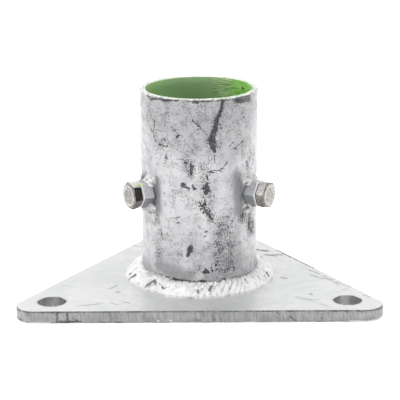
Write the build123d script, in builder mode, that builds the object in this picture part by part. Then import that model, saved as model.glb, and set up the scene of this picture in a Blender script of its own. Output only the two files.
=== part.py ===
from build123d import *
import os
from math import cos, pi, radians, sqrt, tan

# Tube clamp base flange: a three-cornered floor plate with a socket tube welded upright on it,
# and three set bolts in welded-on nuts that grip a post stood in the socket. Millimetres, +Z up.
# The origin is where the tube's axis meets the underside of the plate. One corner points to +Y.

# Floor plate, flame cut
plate_side = 250.0  # between the sharp corners, before they are rounded
plate_thickness = 8.0
corner_radius = 12.5
plate_edge_chamfer = 0.6
anchor_hole_diameter = 18.0
anchor_edge_distance = 18.0  # from the hole's centre to each of the two edges beside it

# Socket tube, standing on the plate
tube_outer_diameter = 76.1
tube_wall = 3.6
tube_height = 127.0
bolt_hole_clearance = 0.5  # round the set bolt, where it goes through the tube's wall

# Ring weld between tube and plate
ring_leg_out = 12.4
ring_leg_up = 7.5
ring_crown = 1.9  # how far the bead's face bulges over its chord
ripple_pitch = 6.1  # along the bead's toe
ripple_depth = 0.8  # valley between two ripples, below their crests

# Set bolts, thread M10, and their nuts
thread_diameter = 10.0
thread_clearance = 0.05  # radial, bolt in nut
bolt_length = 16.0  # under the head
bolt_tip_chamfer = 0.85
across_flats = 16.0  # of head and nut alike
head_height = 6.4
nut_height = 8.0
corner_chamfer_angle = 30.0
corner_chamfer_diameter = 15.2  # flat left at the end of a hexagon
bolt_height = 61.5  # bolt axis above the plate's top face
head_turn = 47.5  # clocking of the hexagons, from level
nut_turn = 54.5

# Fillet welds that hold each nut, one over it and one under it
nut_weld_along = 5.0  # leg along the nut's flanks
nut_weld_up = 6.2  # leg up or down the tube
nut_weld_sweep = 96.0  # degrees round the bolt's axis

weld_root = 3.0  # how far a bead runs into its corner before the other pieces are cut from it

tube_radius = tube_outer_diameter / 2
bore_radius = tube_radius - tube_wall
anchor_radius = plate_side / sqrt(3) - 2 * anchor_edge_distance
bolt_axis_height = plate_thickness + bolt_height
flat_radius = across_flats / 2
hexagon_corner_radius = flat_radius / cos(radians(30))
first_station = 90.0  # degrees from +X; the stations stand at the plate's corners
station_names = ("rear", "left", "right")
stations = {name: first_station + 120.0 * i for i, name in enumerate(station_names)}


def bolt_plane(station_angle, distance):
    """Plane square to a set bolt: normal outward, local X level and local Y straight up."""
    outward = Vector(1, 0, 0).rotate(Axis.Z, station_angle)
    level = Vector(0, 1, 0).rotate(Axis.Z, station_angle)
    centre = outward * distance + Vector(0, 0, bolt_axis_height)
    return Plane(origin=centre, x_dir=level, z_dir=outward)


def plane_along(face_plane, turn=0.0):
    """Plane through a face plane's axis: local Y runs along the axis and local X away from it."""
    away = face_plane.x_dir.rotate(Axis((0, 0, 0), face_plane.z_dir), turn)
    return Plane(origin=face_plane.origin, x_dir=away, z_dir=away.cross(face_plane.z_dir))


def axis_of(face_plane):
    return Axis(face_plane.origin, face_plane.z_dir)


def chamfered_hexagon(face_plane, height, turn):
    """Hexagon bar stood on a plane, with the corners of its far end chamfered."""
    end_radius = corner_chamfer_diameter / 2
    drop = (hexagon_corner_radius - end_radius) * tan(radians(corner_chamfer_angle))
    with BuildPart() as bar:
        with BuildSketch(face_plane):
            RegularPolygon(flat_radius, 6, major_radius=False, rotation=turn)
        extrude(amount=height)
        with BuildSketch(plane_along(face_plane)):
            with BuildLine():
                Polyline(
                    (0, 0),
                    (hexagon_corner_radius, 0),
                    (hexagon_corner_radius, height - drop),
                    (end_radius, height),
                    (0, height),
                    close=True,
                )
            make_face()
        revolve(axis=axis_of(face_plane), mode=Mode.INTERSECT)
    return bar.part


# Floor plate
with BuildPart() as base_plate:
    with BuildSketch(Plane.XY):
        RegularPolygon(plate_side / sqrt(3), 3, rotation=90, align=None)
        fillet(vertices(), corner_radius)
        with PolarLocations(anchor_radius, 3, start_angle=first_station):
            Circle(anchor_hole_diameter / 2, mode=Mode.SUBTRACT)
    extrude(amount=plate_thickness)
    chamfer(faces().sort_by(Axis.Z)[-1].outer_wire().edges(), plate_edge_chamfer)

# Socket tube
with BuildPart() as socket_tube:
    with BuildSketch(Plane.XY.offset(plate_thickness)):
        Circle(tube_radius)
        Circle(bore_radius, mode=Mode.SUBTRACT)
    extrude(amount=tube_height)
    for station_angle in stations.values():
        with BuildSketch(bolt_plane(station_angle, 0)):
            Circle(thread_diameter / 2 + bolt_hole_clearance)
        extrude(amount=tube_outer_diameter, mode=Mode.SUBTRACT)

# Ring weld: one ripple lofted from valley over crest to valley, and laid round the tube
plate_top = Plane.XY.offset(plate_thickness)
ripple_count = round(2 * pi * (tube_radius + ring_leg_out) / ripple_pitch)
ripple_turn = 360 / ripple_count
root_radius = tube_radius - weld_root
with BuildPart() as ripple:
    for turn, depth in ((0, ripple_depth), (ripple_turn / 2, 0), (ripple_turn, ripple_depth)):
        toe = (tube_radius + ring_leg_out - depth / 2, 0)
        top = (tube_radius, ring_leg_up - depth / 2)
        with BuildSketch(plane_along(plate_top, turn)):
            with BuildLine():
                SagittaArc(toe, top, -ring_crown + depth / 2)
                Polyline(top, (root_radius, top[1]), (root_radius, -weld_root), (toe[0], -weld_root), toe)
            make_face()
    loft(ruled=True)
with BuildPart() as ring_weld:
    add([ripple.part.rotate(Axis.Z, ripple_turn * i) for i in range(ripple_count)])
    split(bisect_by=plate_top, keep=Keep.TOP)
    with BuildSketch(plate_top):
        Circle(tube_radius)
    extrude(amount=tube_height, mode=Mode.SUBTRACT)

pieces = {"base_plate": base_plate, "socket_tube": socket_tube, "ring_weld": ring_weld}

# Nut, set bolt and nut welds at each station
for name, station_angle in stations.items():
    nut_foot = bolt_plane(station_angle, tube_radius)
    with BuildPart() as nut:
        add(chamfered_hexagon(nut_foot, nut_height, nut_turn))
        with BuildSketch(nut_foot):
            Circle(thread_diameter / 2 + thread_clearance)
        extrude(amount=nut_height, mode=Mode.SUBTRACT)

    head_seat = bolt_plane(station_angle, tube_radius + nut_height)
    with BuildPart() as bolt:
        add(chamfered_hexagon(head_seat, head_height, head_turn))
        with BuildSketch(head_seat):
            Circle(thread_diameter / 2)
        extrude(amount=-bolt_length)
        tip = faces().sort_by(axis_of(head_seat))[0]
        chamfer(tip.edges(), bolt_tip_chamfer)

    pieces[f"weld_nut_{name}"] = nut
    pieces[f"set_bolt_{name}"] = bolt

    # Each weld starts as a disc that is sloped off along the nut's flanks, then cut to its sweep
    for side, middle in (("upper", 90), ("lower", 270)):
        with BuildPart() as bead:
            with BuildSketch(nut_foot.offset(-weld_root)):
                Circle(across_flats + nut_weld_up * 2)
            extrude(amount=weld_root + nut_weld_along)
            for flank in range(6):
                away = plane_along(nut_foot, nut_turn + 30 + 60 * flank).x_dir
                top_edge = nut_foot.origin + away * flat_radius + nut_foot.z_dir * nut_weld_along
                slope = Plane(top_edge, z_dir=away * nut_weld_along + nut_foot.z_dir * nut_weld_up)
                split(bisect_by=slope, keep=Keep.BOTTOM)
            split(bisect_by=plane_along(nut_foot, middle - nut_weld_sweep / 2), keep=Keep.BOTTOM)
            split(bisect_by=plane_along(nut_foot, middle + nut_weld_sweep / 2), keep=Keep.TOP)
            with BuildSketch(nut_foot):
                RegularPolygon(flat_radius, 6, major_radius=False, rotation=nut_turn)
            extrude(amount=nut_height, both=True, mode=Mode.SUBTRACT)
            with BuildSketch(plate_top):
                Circle(tube_radius)
            extrude(amount=tube_height, mode=Mode.SUBTRACT)
        pieces[f"nut_weld_{name}_{side}"] = bead

os.makedirs("parts", exist_ok=True)
for node, piece in pieces.items():
    piece.part.label = node
    export_step(piece.part, f"parts/{node}.step")
    print(node, round(piece.part.volume), "mm3")
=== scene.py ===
from math import atan2, cos, degrees, exp, hypot, log, pi, radians, sin, sqrt, tan, tanh

import bpy
import numpy as np
from mathutils import Matrix, Vector, geometry, noise


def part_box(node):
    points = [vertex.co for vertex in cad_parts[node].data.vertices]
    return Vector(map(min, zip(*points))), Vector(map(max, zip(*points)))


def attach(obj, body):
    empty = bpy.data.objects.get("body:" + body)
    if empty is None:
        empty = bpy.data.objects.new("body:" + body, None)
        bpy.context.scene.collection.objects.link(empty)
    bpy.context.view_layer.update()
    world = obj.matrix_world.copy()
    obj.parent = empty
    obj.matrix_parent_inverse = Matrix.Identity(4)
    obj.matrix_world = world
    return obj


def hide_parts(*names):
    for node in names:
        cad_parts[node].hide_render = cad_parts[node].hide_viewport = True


# Tube clamp base flange: galvanised floor plate, socket tube, ring weld, and three welded-on
# nuts with stainless set bolts. Metres, +Z up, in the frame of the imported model.
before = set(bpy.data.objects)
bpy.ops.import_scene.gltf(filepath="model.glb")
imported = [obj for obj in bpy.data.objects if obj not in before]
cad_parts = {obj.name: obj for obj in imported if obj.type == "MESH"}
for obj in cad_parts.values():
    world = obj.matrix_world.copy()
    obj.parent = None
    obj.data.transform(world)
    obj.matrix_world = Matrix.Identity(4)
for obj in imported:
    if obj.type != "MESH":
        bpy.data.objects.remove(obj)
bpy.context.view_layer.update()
scene = bpy.context.scene
mm = 0.001
print("frame loaded")

# Places of the pieces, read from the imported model
plateLow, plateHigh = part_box("base_plate")
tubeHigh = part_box("socket_tube")[1]
plateTop = plateHigh.z
tubeRadius = tubeHigh.x
tubeTop = tubeHigh.z
rearBoltLow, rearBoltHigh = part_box("set_bolt_rear")
boltHeight = (rearBoltLow.z + rearBoltHigh.z) / 2
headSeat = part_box("weld_nut_rear")[1].y
headEnd = rearBoltHigh.y
tipEnd = rearBoltLow.y
stations = {"rear": 90.0, "left": 210.0, "right": 330.0}
cutSlant = 0.16  # of the flame cut's grooves, along the edge for each metre up


def unit(angle):
    return Vector((cos(radians(angle)), sin(radians(angle))))


# Shader helpers

def plug(tree, node, sockets):
    for key, value in sockets.items():
        if isinstance(value, bpy.types.NodeSocket):
            tree.links.new(value, node.inputs[key])
        else:
            node.inputs[key].default_value = value


# New node, with its settings, and with its sockets linked or set; gives its outputs
def addNode(tree, kind, sockets=None, **settings):
    node = tree.nodes.new(kind)
    for key, value in settings.items():
        setattr(node, key, value)
    plug(tree, node, sockets or {})
    return node.outputs


def calc(tree, operation, *terms, clamp=False):
    return addNode(tree, "ShaderNodeMath", dict(enumerate(terms)), operation=operation, use_clamp=clamp)[0]


def vectorCalc(tree, operation, *terms, output="Vector"):
    return addNode(tree, "ShaderNodeVectorMath", dict(enumerate(terms)), operation=operation)[output]


def objectPoint(tree, stretch=None):
    point = addNode(tree, "ShaderNodeTexCoord")["Object"]
    return vectorCalc(tree, "MULTIPLY", point, stretch) if stretch else point


def noiseField(tree, point, size, detail=3.0, roughness=0.55, distortion=0.0, output=0):
    return addNode(tree, "ShaderNodeTexNoise", {
        "Vector": point, "Scale": 1.0 / size, "Detail": detail, "Roughness": roughness,
        "Distortion": distortion,
    })[output]


def between(tree, value, low, high, toLow=0.0, toHigh=1.0, kind="SMOOTHSTEP"):
    return addNode(tree, "ShaderNodeMapRange", {
        "Value": value, "From Min": low, "From Max": high, "To Min": toLow, "To Max": toHigh,
    }, interpolation_type=kind)[0]


def mixColour(tree, factor, first, second):
    first, second = [(*c, 1.0) if isinstance(c, tuple) else c for c in (first, second)]
    return addNode(tree, "ShaderNodeMix", {0: factor, 6: first, 7: second}, data_type="RGBA")[2]


# Tone laid over a colour, as far as a field runs from low to high
def tinted(tree, colour, tone, field, low, high, toLow=0.0, toHigh=1.0):
    return mixColour(tree, between(tree, field, low, high, toLow, toHigh), colour, tone)


def attribute(tree, name):
    return addNode(tree, "ShaderNodeAttribute", attribute_name=name)["Fac"]


def parts(tree, point):
    return addNode(tree, "ShaderNodeSeparateXYZ", {0: point})


def startMaterial(name):
    material = bpy.data.materials.new(name)
    material.use_nodes = True
    return material, material.node_tree, material.node_tree.nodes["Principled BSDF"]


def addBump(tree, shader, *layers):
    below = {}
    for height, distance, strength in layers:
        sockets = {"Strength": strength, "Distance": distance, "Height": height}
        below = {"Normal": addNode(tree, "ShaderNodeBump", sockets | below)[0]}
    plug(tree, shader, below)


# Mesh helpers

def makeObject(name, points, faces, materials, faceMaterials=None, sharpAngle=40.0):
    mesh = bpy.data.meshes.new(name)
    mesh.from_pydata([tuple(map(float, p)) for p in points], [], faces)
    for material in materials:
        mesh.materials.append(material)
    if faceMaterials is not None:
        mesh.polygons.foreach_set("material_index", np.asarray(faceMaterials, dtype=np.int32))
    mesh.polygons.foreach_set("use_smooth", np.ones(len(mesh.polygons), dtype=bool))
    mesh.update()
    mesh.set_sharp_from_angle(angle=radians(sharpAngle))
    made = bpy.data.objects.new(name, mesh)
    scene.collection.objects.link(made)
    return made


def gridFaces(rows, columns, closeRows=False, start=0):
    faces = []
    for row in range(rows if closeRows else rows - 1):
        low, high = start + row * columns, start + (row + 1) % rows * columns
        for column in range(columns):
            right = (column + 1) % columns
            faces.append((low + column, low + right, high + right, high + column))
    return faces


def noiseAt(*place):
    return noise.noise(Vector(place))


def wobble(point, size, seed=0.0):
    return noise.noise(Vector(point) / size + Vector((seed, seed * 1.7, -seed)))


def setField(piece, name, values, domain="POINT"):
    field = piece.data.attributes.new(name, "FLOAT", domain)
    field.data.foreach_set("value", np.asarray(values, dtype=np.float32))


# Field of strokes round a piece: 1 on a stroke's line, 0 at its edge and beyond. A stroke is its
# strength, then for each bend its degrees from the front, its height, or with radial its distance
# from the tube's axis, and its half width, in mm.
def strokeField(piece, name, strokes, radius, radial=False, spread=1.0, thinnest=0.0):
    spots = np.empty(len(piece.data.vertices) * 3)
    piece.data.vertices.foreach_get("co", spots)
    x, y, z = spots.reshape(-1, 3).T
    perDegree = pi / 180 * radius
    across = ((np.degrees(np.arctan2(y, x)) + 270) % 360 - 180) * perDegree
    along = (np.hypot(x, y) if radial else z) / mm
    field = np.zeros(len(across))
    for strength, *bends in strokes:
        knots = [(bends[i] * perDegree, bends[i + 1], max(bends[i + 2], thinnest) * spread)
                 for i in range(0, len(bends), 3)]
        for (x0, y0, half0), (x1, y1, half1) in zip(knots, knots[1:] or knots):
            dx, dy = x1 - x0, y1 - y0
            length = dx * dx + dy * dy
            share = np.clip(((across - x0) * dx + (along - y0) * dy) / (length or 1.0), 0, 1)
            gap = np.hypot(across - x0 - share * dx, along - y0 - share * dy)
            half = half0 + (half1 - half0) * share
            field = np.maximum(field, strength * np.clip(1.55 - 0.75 * gap / half, 0, 1))
    setField(piece, name, field)


# From a station's own axes, level, up and outward, to the frame
def stationMatrix(angle):
    matrix = Matrix((unit(angle + 90).to_3d(), (0, 0, 1), unit(angle).to_3d())).transposed().to_4x4()
    matrix.translation = (0, 0, boltHeight)
    return matrix


def placed(points, angle):
    matrix = stationMatrix(angle)
    return [matrix @ Vector(p) for p in points]


def dress(piece, body, node):
    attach(piece, body)
    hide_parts(node)


# Materials

def warped(tree, point, size, reach):
    field = noiseField(tree, point, size, 2.0, 0.5, output="Color")
    shift = vectorCalc(tree, "SUBTRACT", field, (0.5, 0.5, 0.5))
    return vectorCalc(tree, "ADD", point, vectorCalc(tree, "MULTIPLY", shift, (2 * reach,) * 3))


def scaled(colour, share):
    return tuple(c * share for c in colour)


# Line across a surface: 1 from start to end, falling to 0 at its edges
def strokeMask(tree, point, start, end, half):
    along = vectorCalc(tree, "SUBTRACT", point, start)
    way = Vector(end) - Vector(start)
    dot = vectorCalc(tree, "DOT_PRODUCT", along, way / max(way.length_squared, 1e-12), output="Value")
    share = calc(tree, "MULTIPLY", dot, 1.0, clamp=True)
    foot = addNode(tree, "ShaderNodeVectorMath", {0: way, "Scale": share}, operation="SCALE")[0]
    gap = vectorCalc(tree, "DISTANCE", along, foot, output="Value")
    return between(tree, gap, half * 0.4, half * 1.3, 1.0, 0.0)


# Galvanised steel. The keys veins, shade, pepper, dots, striae, marks and lines are layers over
# the mottled zinc, left out where a look lacks them.
def zincMaterial(name, look):
    material, tree, shader = startMaterial(name)
    point = objectPoint(tree)
    bent = warped(tree, point, 5 * mm, 1.6 * mm)
    cloud = noiseField(tree, point, 24 * mm, 3.0, 0.6)
    patch = noiseField(tree, bent, 6 * mm, 5.0, 0.62)
    fine = noiseField(tree, point, 1.5 * mm, 4.0, 0.65)
    grit = noiseField(tree, point, 0.8 * mm, 3.0, 0.75)
    light, dark = look["light"], look["dark"]
    colour = tinted(tree, light, dark, cloud, 0.36, 0.66)
    colour = tinted(tree, colour, scaled(dark, 0.78), patch, 0.5, 0.66, 0.0, look["mottle"])
    colour = tinted(tree, colour, scaled(light, 1.12), patch, 0.34, 0.46, look["mottle"], 0.0)
    if look.get("veins"):
        crossing = calc(tree, "SUBTRACT", noiseField(tree, bent, 7 * mm, 5.0, 0.68, 0.9), 0.5)
        line = between(tree, calc(tree, "ABSOLUTE", crossing), 0.006, 0.02, look["veins"], 0.0)
        broken = between(tree, noiseField(tree, point, 4.5 * mm, 3.0, 0.6), 0.49, 0.57)
        colour = mixColour(tree, calc(tree, "MULTIPLY", line, broken), colour, scaled(dark, 0.3))
    if look.get("shade"):
        depth = calc(tree, "MULTIPLY", attribute(tree, "shade"), look["shade"])
        if look.get("striae"):
            depth = calc(tree, "MULTIPLY", depth, between(tree, grit, 0.38, 0.56, 0.15, 1.5))
        colour = mixColour(tree, calc(tree, "MINIMUM", depth, 1.0), colour, look["shadeColour"])
    if look.get("pepper"):
        density = calc(tree, "MULTIPLY", between(tree, patch, 0.4, 0.64), look["pepper"])
        if look.get("specks"):
            crowd = calc(tree, "MULTIPLY", attribute(tree, "specks"), look["specks"])
            density = calc(tree, "ADD", density, crowd)
        raised = calc(tree, "ADD", grit, calc(tree, "MULTIPLY", density, 0.16))
        colour = tinted(tree, colour, look["speckColour"], raised, 0.645, 0.695, 0.0, 0.85)
    if look.get("dots"):
        dot = noiseField(tree, point, 1.3 * mm, 2.0, 0.5)
        colour = tinted(tree, colour, look["dotColour"], dot, 0.55, 0.6, 0.0, look["dots"])
        colour = tinted(tree, colour, look["tint"], dot, 0.38, 0.44, 0.5, 0.0)
    relief = patch
    if look.get("striae"):
        x, y, z = parts(tree, point)
        slanted = calc(tree, "ADD", x, calc(tree, "MULTIPLY", z, cutSlant))
        flow = addNode(tree, "ShaderNodeCombineXYZ", {0: slanted, 1: y, 2: calc(tree, "MULTIPLY", z, 0.1)})
        relief = noiseField(tree, flow[0], 0.8 * mm, 2.0, 0.5)
        squat = vectorCalc(tree, "MULTIPLY", point, (1.0, 1.0, 2.6))
        wide = noiseField(tree, squat, 9 * mm, 4.0, 0.62)
        colour = tinted(tree, colour, scaled(dark, 0.45), relief, 0.42, 0.64, 0.0, look["striae"])
        colour = tinted(tree, colour, scaled(light, 1.2), wide, 0.34, 0.46, 0.3, 0.0)
        colour = tinted(tree, colour, look["shadeColour"], wide, 0.6, 0.72, 0.0, 0.25)
    if look.get("marks"):
        field = attribute(tree, "marks")
        ragged = calc(tree, "ADD", calc(tree, "MULTIPLY", calc(tree, "SUBTRACT", grit, 0.5), 2.4),
                      calc(tree, "SUBTRACT", patch, 0.5))
        torn = calc(tree, "ADD", calc(tree, "MULTIPLY", field, 0.8), ragged)
        mask = calc(tree, "MULTIPLY", between(tree, torn, 0.4, 0.58, 0.0, look["marks"]),
                    between(tree, field, 0.0, 0.2))
        tone = tinted(tree, look["markColour"], scaled(look["markColour"], 3.2), fine, 0.4, 0.62)
        colour = mixColour(tree, mask, colour, tone)
    wavy = warped(tree, point, 5 * mm, look["lineWarp"]) if look.get("lineWarp") else bent
    for start, end, half, strength, tone in look.get("lines", ()):
        line = strokeMask(tree, wavy, Vector(start) * mm, Vector(end) * mm, half * mm)
        torn = calc(tree, "MULTIPLY", line, between(tree, grit, 0.36, 0.52, 0.0, strength))
        colour = mixColour(tree, torn, colour, tone if isinstance(tone, tuple) else (tone,) * 3)
    roughness, grain = look["roughness"], look["grain"]
    plug(tree, shader, {
        "Base Color": colour, "Metallic": look["metallic"],
        "Roughness": between(tree, patch, 0.35, 0.65, roughness - 0.07, roughness + 0.1)})
    addBump(tree, shader, (relief, 0.6 * mm, 0.5 * grain), (fine, 0.3 * mm, 0.45 * grain),
            (grit, 0.12 * mm, 0.4 * grain))
    return material


# In lines: start, end and half width in mm, then strength and tone
tubeLook = {
    "light": (0.585, 0.585, 0.597), "dark": (0.485, 0.485, 0.50), "mottle": 0.35, "veins": 0.85,
    "shade": 0.9, "shadeColour": (0.17, 0.17, 0.178), "pepper": 0.35, "specks": 1.15,
    "speckColour": (0.11, 0.11, 0.115), "marks": 0.96, "markColour": (0.016, 0.016, 0.018),
    "metallic": 0.35, "roughness": 0.42, "grain": 1.0,
}
plateLook = {
    "light": (0.72, 0.73, 0.72), "dark": (0.68, 0.695, 0.69), "mottle": 0.06,
    "shade": 1.0, "shadeColour": (0.42, 0.43, 0.435), "metallic": 0.7, "roughness": 0.36, "grain": 0.02,
    "lines": [
        ((-77.9, -62.2, 8), (-63, -58.9, 8), 0.9, 0.8, 0.33), ((38.5, 49, 8), (47, 45.2, 8), 1.9, 1, 0.09),
        ((46, 37, 8), (52.5, 34.5, 8), 1.9, 0.9, 0.13), ((53.5, 37.5, 8), (57.5, 36.5, 8), 1.4, 0.8, 0.2),
        ((54, -10.5, 8), (57.5, -12.5, 8), 1.2, 0.9, 0.18),
        ((71.2, -42.2, 8), (72, -43.5, 8), 1.2, 0.9, 0.15), ((62, -48, 8), (72, -56, 8), 1, 0.8, 0.36),
        ((66, -51, 8), (76, -53, 8), 0.8, 0.7, 0.36), ((73.5, 4.5, 8), (80, -4, 8), 1.2, 0.8, 0.32),
        ((73.5, -6, 8), (78.5, -10, 8), 1.1, 0.8, 0.32), ((80, -12, 8), (88.5, -15, 8), 1.2, 0.8, 0.3),
        ((83, -8, 8), (91, -26, 8), 1.2, 0.7, 0.36), ((90, -20, 8), (98.5, -30, 8), 1, 0.7, 0.36),
        ((54.5, 47, 8), (77.5, 8, 8), 1.3, 1, 0.16), ((-53.5, -37, 8), (-52, -37.5, 8), 1.4, 0.9, 0.18),
        ((-59.5, -31, 8), (-54.5, -25.5, 8), 1, 0.8, (0.3, 0.29, 0.27)),
        ((-48, -56, 8), (-45, -57, 8), 1, 0.8, 0.3), ((-90, -24, 8), (-86, -25, 8), 0.9, 0.6, 0.45),
        ((-50, 60, 8), (-30, 52, 8), 0.9, 0.7, 0.36), ((12, 72, 8), (20, 88, 8), 0.9, 0.7, 0.36),
        ((-65, -57.1, 8), (-60.8, -57.3, 8), 0.8, 0.7, 0.34),
        ((-56, -57.5, 8), (-51.2, -60.5, 8), 0.8, 0.7, 0.34),
        ((76.5, -61, 8), (80, -64, 8), 0.8, 0.7, 0.36), ((92.5, -35, 8), (96.5, -33.5, 8), 0.8, 0.7, 0.36),
        ((105, -44.5, 8), (108.5, -49.5, 8), 0.9, 0.7, 0.36),
    ],
}
edgeLook = {
    "light": (0.353, 0.351, 0.360), "dark": (0.303, 0.301, 0.310), "mottle": 0.25, "striae": 0.42,
    "shade": 1.0, "shadeColour": (0.07, 0.068, 0.072), "pepper": 0.3, "speckColour": (0.09, 0.088, 0.09),
    "metallic": 0.3, "roughness": 0.45, "grain": 0.8, "lineWarp": 0.7 * mm,
    "lines": [
        # Painted highlights on the rear walls of the right and left anchor holes
        ((93, -45.2, -2), (93, -45.2, 10), 3.4, 0.7, (0.62, 0.62, 0.63)),
        ((-92.5, -45.2, -2), (-92.5, -45.2, 10), 2.8, 0.45, (0.52, 0.52, 0.53)),
        ((-91.1, -72.2, 7.3), (-87.3, -72.2, 7.1), 0.9, 1, 0.035),
        ((-88.6, -72.2, 7.6), (-88.9, -72.2, 0.6), 1, 0.9, 0.07),
        ((-82.7, -72.2, 7.6), (-82.2, -72.2, 0.8), 1, 1, 0.045),
        ((-87, -72.2, 1.3), (-74.7, -72.2, 1.1), 1, 1, 0.03),
        ((-63, -72.2, 0.9), (-56, -72.2, 0.7), 0.6, 0.8, 0.08),
        ((-53, -72.2, 0.8), (-48.5, -72.2, 0.6), 0.5, 0.8, 0.09),
        ((-79.5, -72.2, 3.5), (-76, -72.2, 2), 0.6, 0.8, 0.08),
        ((-108.5, -71.2, 7.4), (-106.5, -71.8, 6), 0.7, 0.9, 0.07),
        ((-115, -64, 6.8), (-112, -69, 7.2), 0.6, 0.8, 0.08),
        ((-115.2, -62, 2.2), (-111.5, -69.5, 1.4), 0.8, 0.9, 0.07),
        ((-98.5, -72.2, 7.2), (-96.5, -72.2, 6.4), 0.6, 0.8, 0.09),
        ((-25.9, -72.2, 1.3), (-25.5, -72.2, 1.3), 0.6, 0.9, 0.8),
        ((-18.5, -72.2, 1.3), (-18, -72.2, 1.3), 0.6, 0.9, 0.8),
        ((-1, -72.2, 2), (0.2, -72.2, 1.8), 0.5, 0.9, 0.08),
        ((8.9, -72.2, 2.2), (9.2, -72.2, 1.8), 0.5, 0.9, 0.08),
        ((48, -72.2, 6.8), (50, -72.2, 6), 0.6, 0.9, 0.1), ((56, -72.2, 4), (60, -72.2, 1), 0.7, 0.9, 0.08),
        ((76.3, -72.2, 3.1), (76.5, -72.2, 2.8), 0.5, 0.9, 0.06),
        ((76.3, -72.2, 5.7), (75.5, -72.2, 2.2), 0.6, 0.8, 0.07),
        ((83.5, -72.2, 7.4), (85, -72.2, 7.1), 0.6, 0.9, 0.07),
        ((90.5, -72.2, 7.3), (91.8, -72.2, 6.6), 0.6, 0.9, 0.06),
        ((97.5, -72.2, 7.3), (101, -72.2, 6.9), 0.6, 0.9, 0.07),
        ((104, -71.5, 6.5), (108.5, -70, 5), 0.6, 0.9, 0.08),
    ],
}
weldLook = {
    "light": (0.86, 0.86, 0.855), "dark": (0.78, 0.78, 0.78), "mottle": 0.2, "shade": 1.0,
    "shadeColour": (0.20, 0.19, 0.19), "pepper": 0.1, "speckColour": (0.2, 0.2, 0.2),
    "marks": 0.95, "markColour": (0.06, 0.055, 0.055), "metallic": 0.15, "roughness": 0.4, "grain": 1.2,
}
nutWeldLook = {
    "light": (0.74, 0.74, 0.745), "dark": (0.46, 0.465, 0.475), "mottle": 0.6, "veins": 0.7,
    "shade": 1.0, "shadeColour": (0.13, 0.13, 0.135), "pepper": 0.5, "speckColour": (0.1, 0.1, 0.1),
    "metallic": 0.35, "roughness": 0.36, "grain": 1.3,
}
rimLook = {
    "light": (0.72, 0.74, 0.70), "dark": (0.60, 0.62, 0.58), "mottle": 0.3, "pepper": 0.75,
    "speckColour": (0.12, 0.13, 0.11), "dots": 0.85, "dotColour": (0.13, 0.16, 0.11),
    "tint": (0.50, 0.62, 0.40), "metallic": 0.1, "roughness": 0.5, "grain": 1.4,
}
tubeZinc, rimZinc, plateZinc, edgeZinc, weldZinc, nutWeldZinc = [
    zincMaterial(name, look) for name, look in (
        ("tubeZinc", tubeLook), ("rimZinc", rimLook), ("plateZinc", plateLook),
        ("edgeZinc", edgeLook), ("weldZinc", weldLook), ("nutWeldZinc", nutWeldLook))]


# Nut and bolt head metal: each face carries its own painted tone, from a painted highlight through the
# clean metal to a painted dark reflection
def facetMaterial(name, look, dab):
    clean, roughness = look["clean"], look["roughness"]
    material, tree, shader = startMaterial(name)
    point = objectPoint(tree)
    haze = noiseField(tree, point, 5 * mm, 3.0)
    fine = noiseField(tree, point, 0.7 * mm, 3.0, 0.7)
    blotch = noiseField(tree, point, 1.9 * mm, 4.0, 0.65, 0.6)
    tone = attribute(tree, "paintedFacetLight")
    # Below 0 a face takes the painted highlight colour, above 0 the painted dark reflection colour
    paintedHighlight = calc(tree, "MULTIPLY", tone, -1.0, clamp=True)
    colour = tinted(tree, clean, look["stain"], blotch, 0.46, 0.62, 0.0, look["blotch"])
    colour = tinted(tree, colour, scaled(clean, 1.3), blotch, 0.34, 0.44, 0.6, 0.0)
    colour = mixColour(tree, paintedHighlight, colour, look["paintedHighlight"])
    colour = mixColour(tree, calc(tree, "MAXIMUM", tone, 0.0), colour, look["paintedDarkReflection"])
    colour = tinted(tree, colour, scaled(look["stain"], 0.5), fine, 0.53, 0.62, 0.0, look["fleck"])
    start, end, half, paint = dab
    spot = calc(tree, "MULTIPLY", strokeMask(tree, warped(tree, point, 2 * mm, 0.5 * mm), start, end, half),
                between(tree, fine, 0.3, 0.42, 0.4, 1.0))
    plug(tree, shader, {
        "Base Color": mixColour(tree, spot, colour, paint), "Metallic": look["metallic"],
        "Roughness": between(tree, haze, 0.3, 0.7, roughness - 0.06, roughness + 0.1)})
    addBump(tree, shader, (blotch, 0.12 * mm, 0.5), (fine, 0.08 * mm, 0.5))
    return material


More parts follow.
